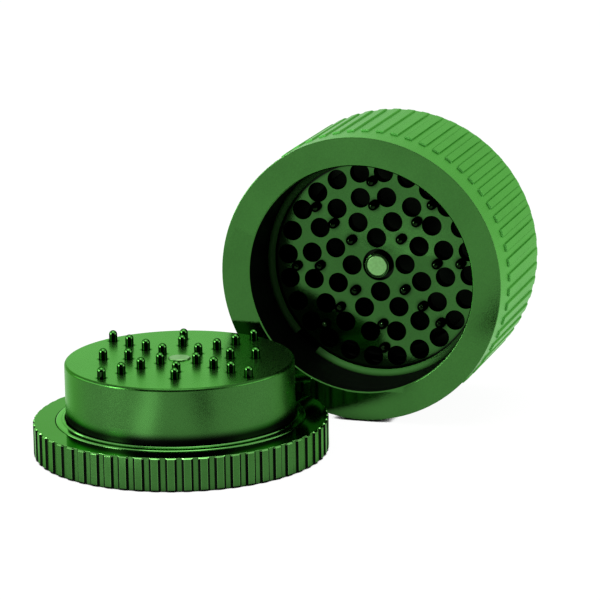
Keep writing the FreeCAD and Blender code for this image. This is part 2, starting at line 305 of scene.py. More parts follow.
def anodised_aluminium(name, colour, edge_tint, painted_shade_colour, roughness, grain_depth_mm, cavity_mm,
                       grain_mm=0.25, mask=None):
    """Aluminium with a dyed oxide skin: satin, finely pitted, brighter where it is seen edge on.

    Shade is painted darker in narrow corners, which draws a dark line along every step. A mask paints shade
    as dark in other places.
    """
    material, tree = new_material(name)
    place = node(tree, "ShaderNodeTexCoord").outputs["Object"]
    # Blasting leaves pits of about 0.05 mm, which are drawn coarser, so that they show
    pits = node(tree, "ShaderNodeTexNoise",
                values={"Scale": per_metre(grain_mm), "Detail": 2.0, "Roughness": 0.6},
                links={"Vector": place})
    clouds = node(tree, "ShaderNodeTexNoise",
                  values={"Scale": per_metre(9.0), "Detail": 3.0}, links={"Vector": place})
    tone = node(tree, "ShaderNodeMapRange", values={**NOISE_RANGE, "To Min": 0.94, "To Max": 1.06},
                links={"Value": clouds.outputs["Fac"]})
    speckle = node(tree, "ShaderNodeMapRange", values={**NOISE_RANGE, "To Min": 0.88, "To Max": 1.12},
                   links={"Value": pits.outputs["Fac"]})
    shade = node(tree, "ShaderNodeMath", settings=MULTIPLY,
                 links={0: tone.outputs["Result"], 1: speckle.outputs["Result"]})
    dyed = node(tree, "ShaderNodeMix", settings=MULTIPLY_COLOURS,
                values={"Factor": 1.0, "A": (*colour, 1)}, links={"B": shade.outputs[0]})
    # Painted shade: where a corner closes in round a point, the colour and the tint seen edge on turn to the
    # shade colour
    open_sky = node(tree, "ShaderNodeAmbientOcclusion", settings=SHADE_RAYS,
                    values={"Distance": cavity_mm * MM})
    open_share = node(tree, "ShaderNodeMapRange", values={"From Min": 0.45, "From Max": 0.95},
                      links={"Value": open_sky.outputs["AO"]}).outputs["Result"]
    if mask:
        open_share = node(tree, "ShaderNodeMath", settings=MULTIPLY,
                          links={0: open_share, 1: mask(tree)}).outputs[0]
    deep = node(tree, "ShaderNodeMix", settings=MIX_COLOURS, values={"A": (*painted_shade_colour, 1)},
                links={"Factor": open_share, "B": dyed.outputs["Result"]})
    edge = node(tree, "ShaderNodeMix", settings=MIX_COLOURS,
                values={"A": (*painted_shade_colour, 1), "B": (*edge_tint, 1)}, links={"Factor": open_share})
    satin = node(tree, "ShaderNodeMapRange",
                 values={**NOISE_RANGE, "To Min": roughness - 0.04, "To Max": roughness + 0.04},
                 links={"Value": pits.outputs["Fac"]})
    bump = node(tree, "ShaderNodeBump", values={"Strength": 1.0, "Distance": grain_depth_mm * MM},
                links={"Height": pits.outputs["Fac"]})
    shader = node(tree, "ShaderNodeBsdfPrincipled",
                  values={"Metallic": 1.0, "Coat Weight": 0.07, "Coat Roughness": roughness},
                  links={"Base Color": deep.outputs["Result"], "Specular Tint": edge.outputs["Result"],
                         "Roughness": satin.outputs["Result"], "Normal": bump.outputs["Normal"]})
    node(tree, "ShaderNodeOutputMaterial", links={"Surface": shader.outputs["BSDF"]})
    return material


def on_the_open_plate(tree):
    """1 on the open faces of the plate, and 0 where shade is painted: in its holes, in its middle recess and
    under the snap ring.
    """
    recess_radius, recess_blur = 3.6, 0.05
    open_radius, open_blur = 23.25, 0.15
    normal = node(tree, "ShaderNodeTexCoord").outputs["Normal"]
    along = node(tree, "ShaderNodeSeparateXYZ", links={"Vector": normal}).outputs["Y"]
    share = node(tree, "ShaderNodeMath", settings={"operation": "ABSOLUTE"}, links={0: along}).outputs[0]
    square = node(tree, "ShaderNodeMapRange", values={"From Min": 0.5, "From Max": 0.9},
                  links={"Value": share})
    place = node(tree, "ShaderNodeTexCoord").outputs["Object"]
    plate_middle = Vector((MOUTH.x, box_mm("stator_plate")[0].y, MOUTH.z)) * MM
    from_middle = node(tree, "ShaderNodeVectorMath", settings={"operation": "DISTANCE"},
                       values={1: plate_middle}, links={0: place}).outputs["Value"]
    clear = node(tree, "ShaderNodeMapRange",
                 values={"From Min": recess_radius * MM, "From Max": (recess_radius + recess_blur) * MM},
                 links={"Value": from_middle})
    inner = node(tree, "ShaderNodeMapRange",
                 values={"From Min": open_radius * MM, "From Max": (open_radius + open_blur) * MM,
                         "To Min": 1.0, "To Max": 0.0},
                 links={"Value": from_middle})
    land = node(tree, "ShaderNodeMath", settings=MULTIPLY,
                links={0: inner.outputs["Result"], 1: clear.outputs["Result"]})
    return node(tree, "ShaderNodeMath", settings=MULTIPLY,
                links={0: square.outputs["Result"], 1: land.outputs[0]}).outputs[0]


def above_the_foot(tree):
    """1 on the drum's side and 0 in the shaded corner at its foot."""
    shade_low, shade_high = 1.5, 3.4
    place = node(tree, "ShaderNodeTexCoord").outputs["Object"]
    height = node(tree, "ShaderNodeSeparateXYZ", links={"Vector": place}).outputs["Z"]
    foot = drum_low.z
    return node(tree, "ShaderNodeMapRange", settings={"interpolation_type": "SMOOTHSTEP"},
                values={"From Min": (foot + shade_low) * MM, "From Max": (foot + shade_high) * MM},
                links={"Value": height}).outputs["Result"]


def behind_the_base(tree):
    """1 on the outside of the base and 0 on its inside, which gets no light."""
    shade_end, shade_start = 1.6, 1.2
    place = node(tree, "ShaderNodeTexCoord").outputs["Object"]
    along = node(tree, "ShaderNodeSeparateXYZ", links={"Vector": place}).outputs["Y"]
    back = MOUTH.y + BODY_LENGTH
    return node(tree, "ShaderNodeMapRange",
                values={"From Min": (back - shade_end) * MM, "From Max": (back - shade_start) * MM},
                links={"Value": along}).outputs["Result"]


def dull_dye(name, colour):
    """Dyed metal left rough: dull, with no mirror image, and faint bands along the body's axis."""
    material, tree = new_material(name)
    place = node(tree, "ShaderNodeTexCoord").outputs["Object"]
    # Tool marks lie closer than 0.1 mm, and are drawn 3.77 mm apart; a wave runs 20 radians for a scale of 1
    bands = node(tree, "ShaderNodeTexWave", settings={"bands_direction": "Y"},
                 values={"Scale": per_metre(3.77) * math.tau / 20, "Distortion": 0.4},
                 links={"Vector": place})
    tone = node(tree, "ShaderNodeMapRange", values={"To Min": 0.7, "To Max": 1.2},
                links={"Value": bands.outputs["Fac"]})
    dye = node(tree, "ShaderNodeMix", settings=MULTIPLY_COLOURS,
               values={"Factor": 1.0, "A": (*colour, 1)}, links={"B": tone.outputs["Result"]})
    shader = node(tree, "ShaderNodeBsdfPrincipled", values={"Roughness": 0.55, "Specular IOR Level": 0.02},
                  links={"Base Color": dye.outputs["Result"]})
    node(tree, "ShaderNodeOutputMaterial", links={"Surface": shader.outputs["BSDF"]})
    return material


def polished_dye(name, colour, edge_tint, roughness, dome_highlight_colour=None):
    """Polished metal under a dyed skin: mirror-like, so that it shows the dark room and small sharp lights.

    A dome that points up can have a paler colour painted on it as a highlight.
    """
    material, tree = new_material(name)
    place = node(tree, "ShaderNodeTexCoord").outputs["Object"]
    smear = node(tree, "ShaderNodeTexNoise",
                 values={"Scale": per_metre(0.8), "Detail": 2.0}, links={"Vector": place})
    satin = node(tree, "ShaderNodeMapRange",
                 values={**NOISE_RANGE, "To Min": roughness * 0.7, "To Max": roughness * 1.3},
                 links={"Value": smear.outputs["Fac"]})
    shader = node(tree, "ShaderNodeBsdfPrincipled",
                  values={"Base Color": (*colour, 1), "Metallic": 1.0, "Specular Tint": (*edge_tint, 1)},
                  links={"Roughness": satin.outputs["Result"]})
    if dome_highlight_colour:
        normal = node(tree, "ShaderNodeTexCoord").outputs["Normal"]
        upward = node(tree, "ShaderNodeSeparateXYZ", links={"Vector": normal}).outputs["Z"]
        share = node(tree, "ShaderNodeMapRange", values={"From Min": 0.15, "From Max": 0.4},
                     links={"Value": upward})
        dye = node(tree, "ShaderNodeMix", settings=MIX_COLOURS,
                   values={"A": (*colour, 1), "B": (*dome_highlight_colour, 1)},
                   links={"Factor": share.outputs["Result"]})
        tree.links.new(dye.outputs["Result"], shader.inputs["Base Color"])
    node(tree, "ShaderNodeOutputMaterial", links={"Surface": shader.outputs["BSDF"]})
    return material


def ground_steel(name, colour):
    """Ground stainless steel: bright, with a fine ground grain that blurs its reflections."""
    material, tree = new_material(name)
    place = node(tree, "ShaderNodeTexCoord").outputs["Object"]
    # The real grain is about 0.02 mm wide and is drawn at 0.1 mm, so that it shows
    grain = node(tree, "ShaderNodeTexNoise",
                 values={"Scale": per_metre(0.1), "Detail": 2.0}, links={"Vector": place})
    satin = node(tree, "ShaderNodeMapRange", values={**NOISE_RANGE, "To Min": 0.22, "To Max": 0.38},
                 links={"Value": grain.outputs["Fac"]})
    bump = node(tree, "ShaderNodeBump", values={"Strength": 1.0, "Distance": 0.001 * MM},
                links={"Height": grain.outputs["Fac"]})
    shader = node(tree, "ShaderNodeBsdfPrincipled", values={"Base Color": (*colour, 1), "Metallic": 1.0},
                  links={"Roughness": satin.outputs["Result"], "Normal": bump.outputs["Normal"]})
    node(tree, "ShaderNodeOutputMaterial", links={"Surface": shader.outputs["BSDF"]})
    return material


def moulded_rubber(name, colour):
    """Moulded rubber: dull and nearly black, with a faint bloom in patches."""
    material, tree = new_material(name)
    place = node(tree, "ShaderNodeTexCoord").outputs["Object"]
    bloom = node(tree, "ShaderNodeTexNoise",
                 values={"Scale": per_metre(2.0), "Detail": 3.0}, links={"Vector": place})
    tone = node(tree, "ShaderNodeMapRange", values={**NOISE_RANGE, "To Min": 0.85, "To Max": 1.2},
                links={"Value": bloom.outputs["Fac"]})
    dull = node(tree, "ShaderNodeMix", settings=MULTIPLY_COLOURS,
                values={"Factor": 1.0, "A": (*colour, 1)}, links={"B": tone.outputs["Result"]})
    satin = node(tree, "ShaderNodeMapRange", values={**NOISE_RANGE, "To Min": 0.55, "To Max": 0.7},
                 links={"Value": bloom.outputs["Fac"]})
    shader = node(tree, "ShaderNodeBsdfPrincipled",
                  links={"Base Color": dull.outputs["Result"], "Roughness": satin.outputs["Result"]})
    node(tree, "ShaderNodeOutputMaterial", links={"Surface": shader.outputs["BSDF"]})
    return material


# Settings that a user can change


def length_setting(name, description, size_mm):
    """A length, given in millimetres."""
    return bpy.props.FloatProperty(name=name, description=description, default=size_mm * MM, unit="LENGTH")


def angle_setting(name, description, degrees):
    """An angle, given in degrees."""
    return bpy.props.FloatProperty(
        name=name, description=description, default=math.radians(degrees), subtype="ANGLE")


def colour_setting(name, description, hex_colour):
    """A colour, given as sRGB hex."""
    return bpy.props.FloatVectorProperty(
        name=name, description=description, default=linear(hex_colour), subtype="COLOR")


class GrinderSizes(bpy.types.PropertyGroup):
    """Sizes of the modelled pieces."""
    body_rib_count: bpy.props.IntProperty(name="Body ribs", description="Ribs round the body", default=60)
    body_rib_height: length_setting("Body rib height", "How far the body's ribs stand out", 0.35)
    body_rib_top: length_setting("Body rib top", "Width of the top of a body rib", 1.55)
    body_rib_root: length_setting("Body rib root", "Width of the root of a body rib", 1.85)
    body_rib_phase: angle_setting("Body rib phase", "Angle of the first body rib", 4.95)
    mouth_band: length_setting("Mouth band", "Plain band between the mouth and the ribs", 7.4)
    back_round: length_setting("Back edge", "Radius of the rounded back edge of the body", 3.0)
    bore_chamfer: length_setting("Bore edge", "Chamfer at the mouth of the bore", 0.25)
    lid_rib_count: bpy.props.IntProperty(name="Lid ribs", description="Ribs round the lid", default=58)
    lid_rib_height: length_setting("Lid rib height", "How far the lid's ribs stand out", 0.4)
    lid_rib_top: length_setting("Lid rib top", "Width of the top of a lid rib", 1.45)
    lid_rib_root: length_setting("Lid rib root", "Width of the root of a lid rib", 2.3)
    lid_rib_phase: angle_setting("Lid rib phase", "Angle of the first lid rib", 21.8)
    lid_top_chamfer: length_setting("Lid top edge", "Chamfer on the upper ends of the lid's ribs", 0.3)
    lid_bottom_chamfer: length_setting("Lid bottom edge", "Chamfer on the lower ends of the lid's ribs", 0.33)
    drum_edge: length_setting("Drum edge", "Round on the upper edge of the drum", 0.65)
    glide_edge: length_setting("Glide ring edge", "Round on the outer edge of the glide ring", 0.45)
    broken_edge: length_setting("Broken edges", "Round on the edges of the machined pieces", 0.06)


class GrinderStudio(bpy.types.PropertyGroup):
    """Camera of the studio."""
    lens: bpy.props.FloatProperty(
        name="Lens", description="Focal length of the camera on a 36 mm sensor",
        default=189.65, unit="CAMERA")
    camera_place: bpy.props.FloatVectorProperty(
        name="Camera", description="Where the camera stands",
        default=(0.204115, -0.62710, 0.192315), subtype="TRANSLATION")
    camera_aim: bpy.props.FloatVectorProperty(
        name="Aim", description="The point in the middle of the picture",
        default=(-0.030415, 0.11476, 0.000175), subtype="TRANSLATION")
    camera_roll: bpy.props.FloatProperty(
        name="Roll", description="Turn of the camera about its own axis",
        default=-0.0155, subtype="ANGLE")


class GrinderColours(bpy.types.PropertyGroup):
    """Colours of the finishes."""
    dye: colour_setting("Dye", "Green of the turned faces seen square on", "#386b2f")
    blasted: colour_setting("Blasted dye", "Green of the bead-blasted faces", "#38692f")
    edge_on: colour_setting("Edge on", "Tint of the anodised metal seen edge on", "#c3ffb8")
    plate: colour_setting("Plate dye", "Green of the perforated plate", "#315f2a")
    shell: colour_setting("Shell dye", "Green of the outside of the body", "#4a8a3e")
    drum_top: colour_setting("Drum top dye", "Green of the top of the drum", "#4a8a3e")
    glide: colour_setting("Glide ring", "Green of the glide ring", "#5c9e4f")
    # Paler green of the worn edges of the lid ribs, which also paints a highlight along them
    worn: colour_setting("Worn dye", "Paler green of worn edges", "#64a456")
    # Painted shade in the corners of the body's ribs, and a painted dark line on the drum's edge
    seam: colour_setting("Painted seam shade", "Darker green in the corners of the body's ribs", "#2c5a24")
    # Painted shade: dark green laid into corners, into the plate's holes and recess, round the drum's foot
    # and inside the base
    deep: colour_setting("Painted deep shade", "Dye in corners and inside the body", "#070f06")


class GRINDER_OT_body(bpy.types.Operator):
    """Model the ribbed body with its rounded back edge, rim and bore"""
    bl_idname = "grinder.body"
    bl_label = "Grinding body"

    def execute(self, context):
        sizes = context.scene.grinder_sizes
        colours = context.scene.grinder_colours
        radius, length = BODY_RADIUS, BODY_LENGTH
        band_radius = radius - sizes.body_rib_height / MM
        band = sizes.mouth_band / MM
        round_radius = sizes.back_round / MM
        chamfer = sizes.bore_chamfer / MM
        mouth_edge = 0.1
        rib_slope = 0.1
        bore = radius_of("stator_plate") + PLATE_CLEARANCE
        # Steps of the bore behind the plate: its seat, then room for the base's thread, seal and flange
        plate_back = depth_in_body("stator_plate")[1]
        seat_radius = bore - 1.8
        thread_radius = bore - 1.0
        thread_front = depth_in_body("base_cup")[0] - BASE_CLEARANCE
        seal_radius = bore + 0.23
        seal_front = length - 4.16
        flange_radius = radius_of("base_cup") + BASE_CLEARANCE
        flange_front = length - 2.5
        straight_end = length - round_radius
        run_out = math.degrees(math.acos((band_radius - radius + round_radius) / round_radius))
        outline = [
            (band_radius - mouth_edge, 0), (band_radius, mouth_edge), (band_radius, band),
            (radius, band + rib_slope), (radius, straight_end),
        ]
        outline += arc(radius - round_radius, straight_end, round_radius, 0, run_out, 3)
        ribbed_rows = outline[3:-1]
        outline += arc(radius - round_radius, straight_end, round_radius, run_out, 90, 5)
        outline += [
            (flange_radius, length), (flange_radius, flange_front), (seal_radius, flange_front),
            (seal_radius, seal_front), (thread_radius, seal_front), (thread_radius, thread_front),
            (seat_radius, thread_front), (seat_radius, plate_back), (bore, plate_back),
            (bore, chamfer), (bore + chamfer, 0),
        ]
        piece = turned("grinder_body", sizes.body_rib_count * COLUMNS_PER_RIB, outline, True)
        first = stand_ribs(piece, sizes.body_rib_count, ribbed_rows, radius, band_radius,
                           sizes.body_rib_top / MM, sizes.body_rib_root / MM)
        round_edges(piece, sizes.broken_edge / MM)
        settle(piece, MOUTH, False, math.degrees(sizes.body_rib_phase) + first)
        # Depths between which the sloped ends of the ribs and the outer edge of the mouth lie
        rib_front, rib_back = band - 0.06, band + rib_slope + 0.08
        mouth_edge_back = mouth_edge + 0.03
        # How far towards the front the faces there look at least
        rib_end_slope, mouth_edge_slope = 0.3, 0.1

        def depth(middle):
            return middle.y / MM - MOUTH.y

        def off_axis(middle):
            return math.hypot(middle.x / MM - MOUTH.x, middle.z / MM - MOUTH.z)

        def on_rib_end(middle, face):
            return rib_front < depth(middle) < rib_back and face.normal.y < -rib_end_slope

        def on_mouth_edge(middle, face):
            return depth(middle) < mouth_edge_back and -FLAT < face.normal.y < -mouth_edge_slope

        def in_bore(middle, face):
            return off_axis(middle) < bore + SLACK and depth(middle) > chamfer + SLACK / 2

        def on_rim(middle, face):
            return face.normal.y < -FLAT and depth(middle) < SLACK / 2

        def on_bore_edge(middle, face):
            at_edge = off_axis(middle) < bore + chamfer + SLACK and depth(middle) < chamfer
            return at_edge and face.normal.y > -FLAT

        # Blasting gives the outside a soft sheen that grows pale where it turns away, and shade is painted in
        # the corners of its ribs
        piece.data.materials.append(anodised_aluminium(
            "Bead-blasted green anodised aluminium", colours.shell, colours.edge_on, colours.seam,
            roughness=0.28, grain_depth_mm=0.003, cavity_mm=0.4))
        # The small ends of the ribs are painted a dull green that stands for their shade, and the outer edge
        # of the mouth is left dull, so neither glints
        paint(piece, dull_dye("Ends of the body ribs with painted shade", linear("#58aa4c")), on_rib_end)
        paint(piece, dull_dye("Dull green anodised edge of the mouth", linear("#447a3a")), on_mouth_edge)
        # Shade is painted into the bore: dull and nearly black, it swallows the light
        paint(piece, dull_dye("Bore with painted black shade", linear("#020302")), in_bore)
        # Turning leaves the rim smooth, so that it mirrors what stands before it
        paint(piece, anodised_aluminium(
            "Turned green anodised rim", colours.dye, colours.edge_on, colours.deep,
            roughness=0.1, grain_depth_mm=0.008, cavity_mm=0.3), on_rim)
        # A bright thin line runs round the mouth of the bore
        paint(piece, polished_dye(
            "Polished green anodised bore edge", colours.dye, colours.edge_on, roughness=0.1), on_bore_edge)
        hand_over(piece, "chamber", "body_metal", "grinding_chamber")
        return {"FINISHED"}


class GRINDER_OT_plate(bpy.types.Operator):
    """Finish the perforated plate and its snap ring"""
    bl_idname = "grinder.plate"
    bl_label = "Perforated plate"

    def execute(self, context):
        colours = context.scene.grinder_colours
        # The smooth plate mirrors what stands before the mouth, and shade is painted black in its holes, in
        # its middle recess and under the snap ring
        finish_node("stator_plate", anodised_aluminium(
            "Plate of green anodised aluminium", colours.plate, colours.edge_on, colours.deep,
            roughness=0.11, grain_depth_mm=0.008, cavity_mm=1.2, mask=on_the_open_plate))
        # The wire shows as a thin dull line round the plate
        finish_node("plate_snap_ring", dull_dye("Drawn green steel wire", linear("#24491e")))
        return {"FINISHED"}


class GRINDER_OT_pins(bpy.types.Operator):
    """Finish the pins of the plate and of the drum"""
    bl_idname = "grinder.pins"
    bl_label = "Pins"

    def execute(self, context):
        edge = linear("#2c4a26")
        # Dark little mirrors with one sharp point of light each
        finish_node("stator_pins", polished_dye(
            "Polished dark green steel plate pin", linear("#10200d"), edge, roughness=0.06))
        # Dark mirrors again, with a paler highlight painted on their domes
        finish_node("rotor_pins", polished_dye(
            "Polished dark green steel drum pin", linear("#152b12"), edge, roughness=0.08,
            dome_highlight_colour=linear("#3f7a35")))
        return {"FINISHED"}


class GRINDER_OT_post(bpy.types.Operator):
    """Model the centre post and the two magnets"""
    bl_idname = "grinder.post"
    bl_label = "Post and magnets"

    def execute(self, context):
        colours = context.scene.grinder_colours
        broken_edge = 0.03
        top, foot = depth_in_body("centre_post")
        radius = radius_of("centre_post")
        stem_radius = 1.6
        head_round = 0.15
        head_foot = depth_in_body("stator_plate")[0] + 1.2
        pocket = radius_of("post_magnet")
        pocket_floor = depth_in_body("post_magnet")[1]
        pocket_edge = 0.05
        outline = [(pocket, pocket_floor), (pocket, top + pocket_edge), (pocket + pocket_edge, top),
                   (radius - head_round, top)]
        outline += arc(radius - head_round, top + head_round, head_round, -90, 0, 3)
        outline += [(radius, head_foot), (stem_radius, head_foot), (stem_radius, foot)]
        post = turned("centre_post_turned", POST_COLUMNS, outline, False)
        round_edges(post, broken_edge)
        settle(post, MOUTH, False)
        lit_depth = top + 0.4
        # How far along the axis a face of the post's walls looks at most, and one of its flat top at least
        most_wall, least_top = 0.5, 0.98

        def in_the_dark(middle, face):
            below_head = middle.y / MM > MOUTH.y + lit_depth
            return abs(face.normal.y) < most_wall or below_head or face.normal.y < -least_top

        # Shade is painted black on the post's side, stem and flat top, so only its rounded edge shows, as a
        # thin green ring
        post.data.materials.append(anodised_aluminium(
            "Turned green anodised post", colours.dye, colours.edge_on, colours.deep,
            roughness=0.2, grain_depth_mm=0.001, cavity_mm=1.0))
        paint(post, dull_dye("Side of the post with painted black shade", linear("#060b05")), in_the_dark)
        hand_over(post, "chamber", "post_metal", "centre_post")

        # Ground faces under thin dye: the palest spots of the grinder
        pale = anodised_aluminium(
            "Ground pale green magnet", linear("#74aa66"), linear("#e8ffe2"), linear("#3c7232"),
            roughness=0.35, grain_depth_mm=0.002, cavity_mm=0.2, grain_mm=0.6)
        chamfer_width, chamfer_height = 0.15, 0.1
        magnet = turned("post_magnet_disc", MAGNET_COLUMNS, [
            (pocket - chamfer_width, top), (pocket, top + chamfer_height), (pocket, pocket_floor)], False)
        round_edges(magnet, broken_edge)
        settle(magnet, MOUTH, False)
        magnet.data.materials.append(pale)
        hand_over(magnet, "chamber", "magnet_metal", "post_magnet")

        low, high = box_mm("rotor_magnet")
        radius = radius_of("rotor_magnet")
        chamfer_width, chamfer_height = 0.18, 0.12
        magnet = turned("drum_magnet_disc", MAGNET_COLUMNS, [
            (radius, low.z), (radius, high.z - chamfer_height), (radius - chamfer_width, high.z)], False)
        round_edges(magnet, broken_edge)
        settle(magnet, LID_FOOT, True)
        magnet.data.materials.append(pale)
        hand_over(magnet, "lid", "magnet_metal", "rotor_magnet")
        return {"FINISHED"}


class GRINDER_OT_lid(bpy.types.Operator):
    """Model the ribbed cap of the lid"""
    bl_idname = "grinder.lid"
    bl_label = "Lid cap"

    def execute(self, context):
        sizes = context.scene.grinder_sizes
        colours = context.scene.grinder_colours
        ring_low = box_mm("glide_ring")[0]
        flange = drum_low.z
        drum_radius = radius_of("rotor_drum")
        seat_outer = radius_of("glide_ring") + GLIDE_CLEARANCE
        seat_inner = drum_radius + GLIDE_GAP - GLIDE_CLEARANCE
        boss_radius = 5.0
        spigot_radius = drum_radius - DRUM_WALL - 0.1
        spigot_top = flange + 1.5
        rib = LID_RADIUS
        core = rib - sizes.lid_rib_height / MM
        top_chamfer = sizes.lid_top_chamfer / MM
        bottom_chamfer = sizes.lid_bottom_chamfer / MM
        bottom_chamfer_height = 1.3 * bottom_chamfer
        edge = [
            (rib - top_chamfer, flange), (rib, flange - top_chamfer),
            (rib, bottom_chamfer_height), (rib - bottom_chamfer, 0),
        ]
        outline = [
            (boss_radius, cap_high.z), (boss_radius, spigot_top), (spigot_radius, spigot_top),
            (spigot_radius, flange), (seat_inner, flange), (seat_inner, ring_low.z),
            (seat_outer, ring_low.z), (seat_outer, flange),
        ]
        piece = turned("lid_cap_ribbed", sizes.lid_rib_count * COLUMNS_PER_RIB, outline + edge, False)
        first = stand_ribs(piece, sizes.lid_rib_count, edge, rib, core,
                           sizes.lid_rib_top / MM, sizes.lid_rib_root / MM)
        round_edges(piece, sizes.broken_edge / MM)
        settle(piece, LID_FOOT, True, math.degrees(sizes.lid_rib_phase) + first)
        # A face is on a rib beyond the first radius, and low on it up to the second
        foot_of_ribs = core - 0.2
        low_on_ribs = rib - 0.15
        # How far a face looks sideways where it starts to be a worn edge, and where it is a wall
        least_edge, least_wall = 0.1, 0.35
        # How far up or down a face of the lid's side looks at most, and one of its flange at least
        most_side, least_flange = 0.5, 0.8
        # How far up and outwards a face of the upper chamfer looks at least
        chamfer_up, chamfer_out = 0.35, 0.6

        def outward(middle):
            return Vector((middle.x / MM - LID_FOOT.x, middle.y / MM - LID_FOOT.y, 0))

        def on_side(middle, face):
            return outward(middle).length > foot_of_ribs and abs(face.normal.z) < most_side

        def sideways(middle, face):
            return abs(face.normal.cross(outward(middle).normalized()).z)

        def on_wall(middle, face):
            flat = face.normal.z > least_flange or face.normal.z < -FLAT
            if outward(middle).length < foot_of_ribs or flat:
                return False
            least = least_edge if outward(middle).length < low_on_ribs else least_wall
            return sideways(middle, face) > least or face.normal.z < -most_side

        def on_edge(middle, face):
            return on_side(middle, face) and least_edge < sideways(middle, face) <= least_wall

        def on_chamfer(middle, face):
            along = face.normal.dot(outward(middle).normalized())
            on_rib = outward(middle).length > foot_of_ribs
            return on_rib and face.normal.z > chamfer_up and along > chamfer_out

        # The turned flange is nearly a mirror
        piece.data.materials.append(anodised_aluminium(
            "Turned green anodised lid", colours.dye, colours.edge_on, colours.deep,
            roughness=0.07, grain_depth_mm=0.001, cavity_mm=0.6))
        # Satin ribs stand against shade painted black on the walls between them and on their undersides
        paint(piece, anodised_aluminium(
            "Bead-blasted green anodised lid ribs", colours.blasted, colours.edge_on, colours.deep,
            roughness=0.28, grain_depth_mm=0.003, cavity_mm=0.4), on_side)
        # Their thin pale edges are worn, and the paler green also paints a highlight along them
        paint(piece, anodised_aluminium(
            "Worn green anodised edges of the lid ribs", colours.worn, colours.edge_on, colours.deep,
            roughness=0.2, grain_depth_mm=0.001, cavity_mm=0.2), on_edge)
        paint(piece, dull_dye("Walls between the lid ribs with painted black shade", linear("#060b05")), on_wall)
        # The polished upper ends of the ribs glint in a dotted line, and their paler worn green also paints a
        # highlight there
        paint(piece, polished_dye(
            "Worn green anodised chamfer of the lid ribs", colours.worn, colours.edge_on,
            roughness=0.2), on_chamfer)
        hand_over(piece, "lid", "lid_metal", "lid_cap")
        return {"FINISHED"}


class GRINDER_OT_drum(bpy.types.Operator):
    """Model the drum with its rounded edge"""
    bl_idname = "grinder.drum"
    bl_label = "Drum"

    def execute(self, context):
        sizes = context.scene.grinder_sizes
        colours = context.scene.grinder_colours
        radius = radius_of("rotor_drum")
        inner_radius = radius - DRUM_WALL
        top, foot = drum_high.z, drum_low.z
        hollow_top = top - 4.5
        pocket = radius_of("rotor_magnet") + 0.01
        pocket_floor = box_mm("rotor_magnet")[0].z - 1.6
        edge = sizes.drum_edge / MM
        outline = [(pocket, pocket_floor), (pocket, top), (radius - edge, top)]
        outline += arc(radius - edge, top - edge, edge, 90, 0, 5)
        outline += [(radius, foot), (inner_radius, foot), (inner_radius, hollow_top)]
        piece = turned("drum_turned", DRUM_COLUMNS, outline, False)
        round_edges(piece, sizes.broken_edge / MM)
        settle(piece, LID_FOOT, True)
        edge_foot = top - edge - 0.05
        # How far up or down a face of the side looks at most, and how far up the rounded edge looks
        most_side = 0.3
        least_edge, most_edge = 0.04, 0.97

        def on_side(middle, face):
            return abs(face.normal.z) < most_side

        def on_edge(middle, face):
            return least_edge < face.normal.z < most_edge and middle.z / MM > edge_foot

        # A satin top that blurs the images of the pins
        piece.data.materials.append(anodised_aluminium(
            "Turned green anodised drum top", colours.drum_top, colours.edge_on, colours.deep,
            roughness=0.28, grain_depth_mm=0.006, cavity_mm=0.8))
        # Coarser blasting shows as a fine grain in the lights on the side, and shade is painted dark round
        # its foot
        paint(piece, anodised_aluminium(
            "Bead-blasted green anodised drum", colours.blasted, colours.edge_on, colours.deep,
            roughness=0.27, grain_depth_mm=0.008, cavity_mm=1.0, grain_mm=0.28, mask=above_the_foot), on_side)
        # The rounded edge draws a line between top and side: it is polished, and painted the darker seam
        # green as a dark reflection
        paint(piece, polished_dye(
            "Polished green anodised edge of the drum", colours.seam, colours.edge_on,
            roughness=0.25), on_edge)
        hand_over(piece, "lid", "lid_metal", "rotor_drum")
        return {"FINISHED"}


class GRINDER_OT_glide(bpy.types.Operator):
    """Model the glide ring with its rounded edges"""
    bl_idname = "grinder.glide"
    bl_label = "Glide ring"

    def execute(self, context):
        sizes = context.scene.grinder_sizes
        colours = context.scene.grinder_colours
        low, high = box_mm("glide_ring")
        outer = radius_of("glide_ring")
        inner = radius_of("rotor_drum") + GLIDE_GAP
        outer_top = drum_low.z + 0.23
        ridge = inner + 0.35
        ridge_foot = (ridge + 0.2, outer_top + 0.09)
        ridge_round = 0.12
        broken_edge = 0.02
        # The ring lies a hair above its seat, so that the two faces stay apart when the lid moves
        foot = low.z + 0.01
        piece = turned("glide_ring_turned", DRUM_COLUMNS, [
            (inner, foot), (outer, foot), (outer, outer_top), ridge_foot,
            (ridge, high.z), (inner, high.z)], True)
        rounds = ((ridge, high.z, ridge_round), (outer, outer_top, sizes.glide_edge / MM))
        for edge_radius, edge_height, edge_round in rounds:
            choose(piece, "EDGE", lambda middle, edge: all(
                abs(v.co.z - edge_height) < SAME and abs(math.hypot(v.co.x, v.co.y) - edge_radius) < SAME
                for v in edge.verts))
            bpy.ops.mesh.bevel(offset=edge_round, segments=4, affect="EDGES")
        round_edges(piece, broken_edge)
        settle(piece, LID_FOOT, True)
        # Smooth plastic that shines as the metal does, but paler, with bright lines along its ridge
        piece.data.materials.append(anodised_aluminium(
            "Machined green plastic glide ring", colours.glide, colours.edge_on, colours.deep,
            roughness=0.12, grain_depth_mm=0.001, cavity_mm=0.6, grain_mm=0.3))
        hand_over(piece, "glide", "glide_plastic", "glide_ring")
        return {"FINISHED"}


class GRINDER_OT_base(bpy.types.Operator):
    """Finish the screwed base"""
    bl_idname = "grinder.base"
    bl_label = "Screwed base"

    def execute(self, context):
        colours = context.scene.grinder_colours
        # Satin outside as the body is, with shade painted dark inside
        finish_node("base_cup", anodised_aluminium(
            "Green anodised base", colours.dye, colours.edge_on, colours.deep,
            roughness=0.28, grain_depth_mm=0.003, cavity_mm=1.0, mask=behind_the_base))
        return {"FINISHED"}


